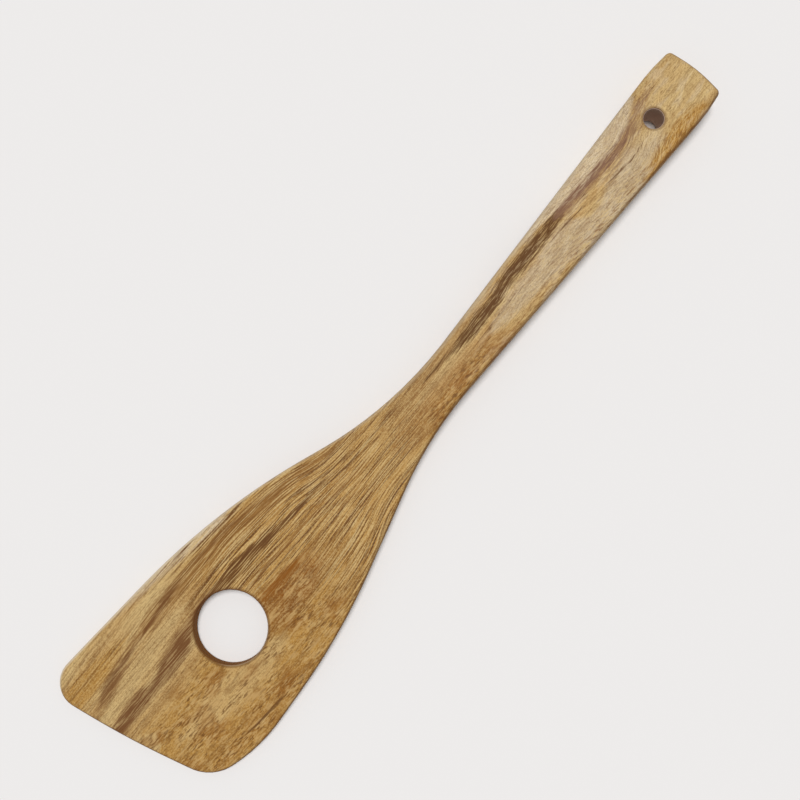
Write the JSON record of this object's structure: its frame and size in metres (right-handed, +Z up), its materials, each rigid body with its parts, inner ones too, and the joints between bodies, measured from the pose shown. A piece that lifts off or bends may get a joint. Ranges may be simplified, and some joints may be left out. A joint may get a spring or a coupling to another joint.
{
  "type": "wooden spatula",
  "caption": "Flat wooden turner with a thin slanted blade, a round hole through the blade, a narrow neck and a rounded handle with a hanging hole.",
  "frame": {"origin": "on the plane of the flat back, under the middle of the spatula's bounding box", "axes": "+Z up from the flat back, +X along the spatula from the blade to the handle's end, +Y towards the blade's long side"},
  "size_m": [0.3002, 0.0678, 0.0112],
  "materials": {
    "oiled_wood": "satin oil"
  },
  "bodies": {
    "root": {"spatula": "oiled_wood"}
  },
  "joints": []
}
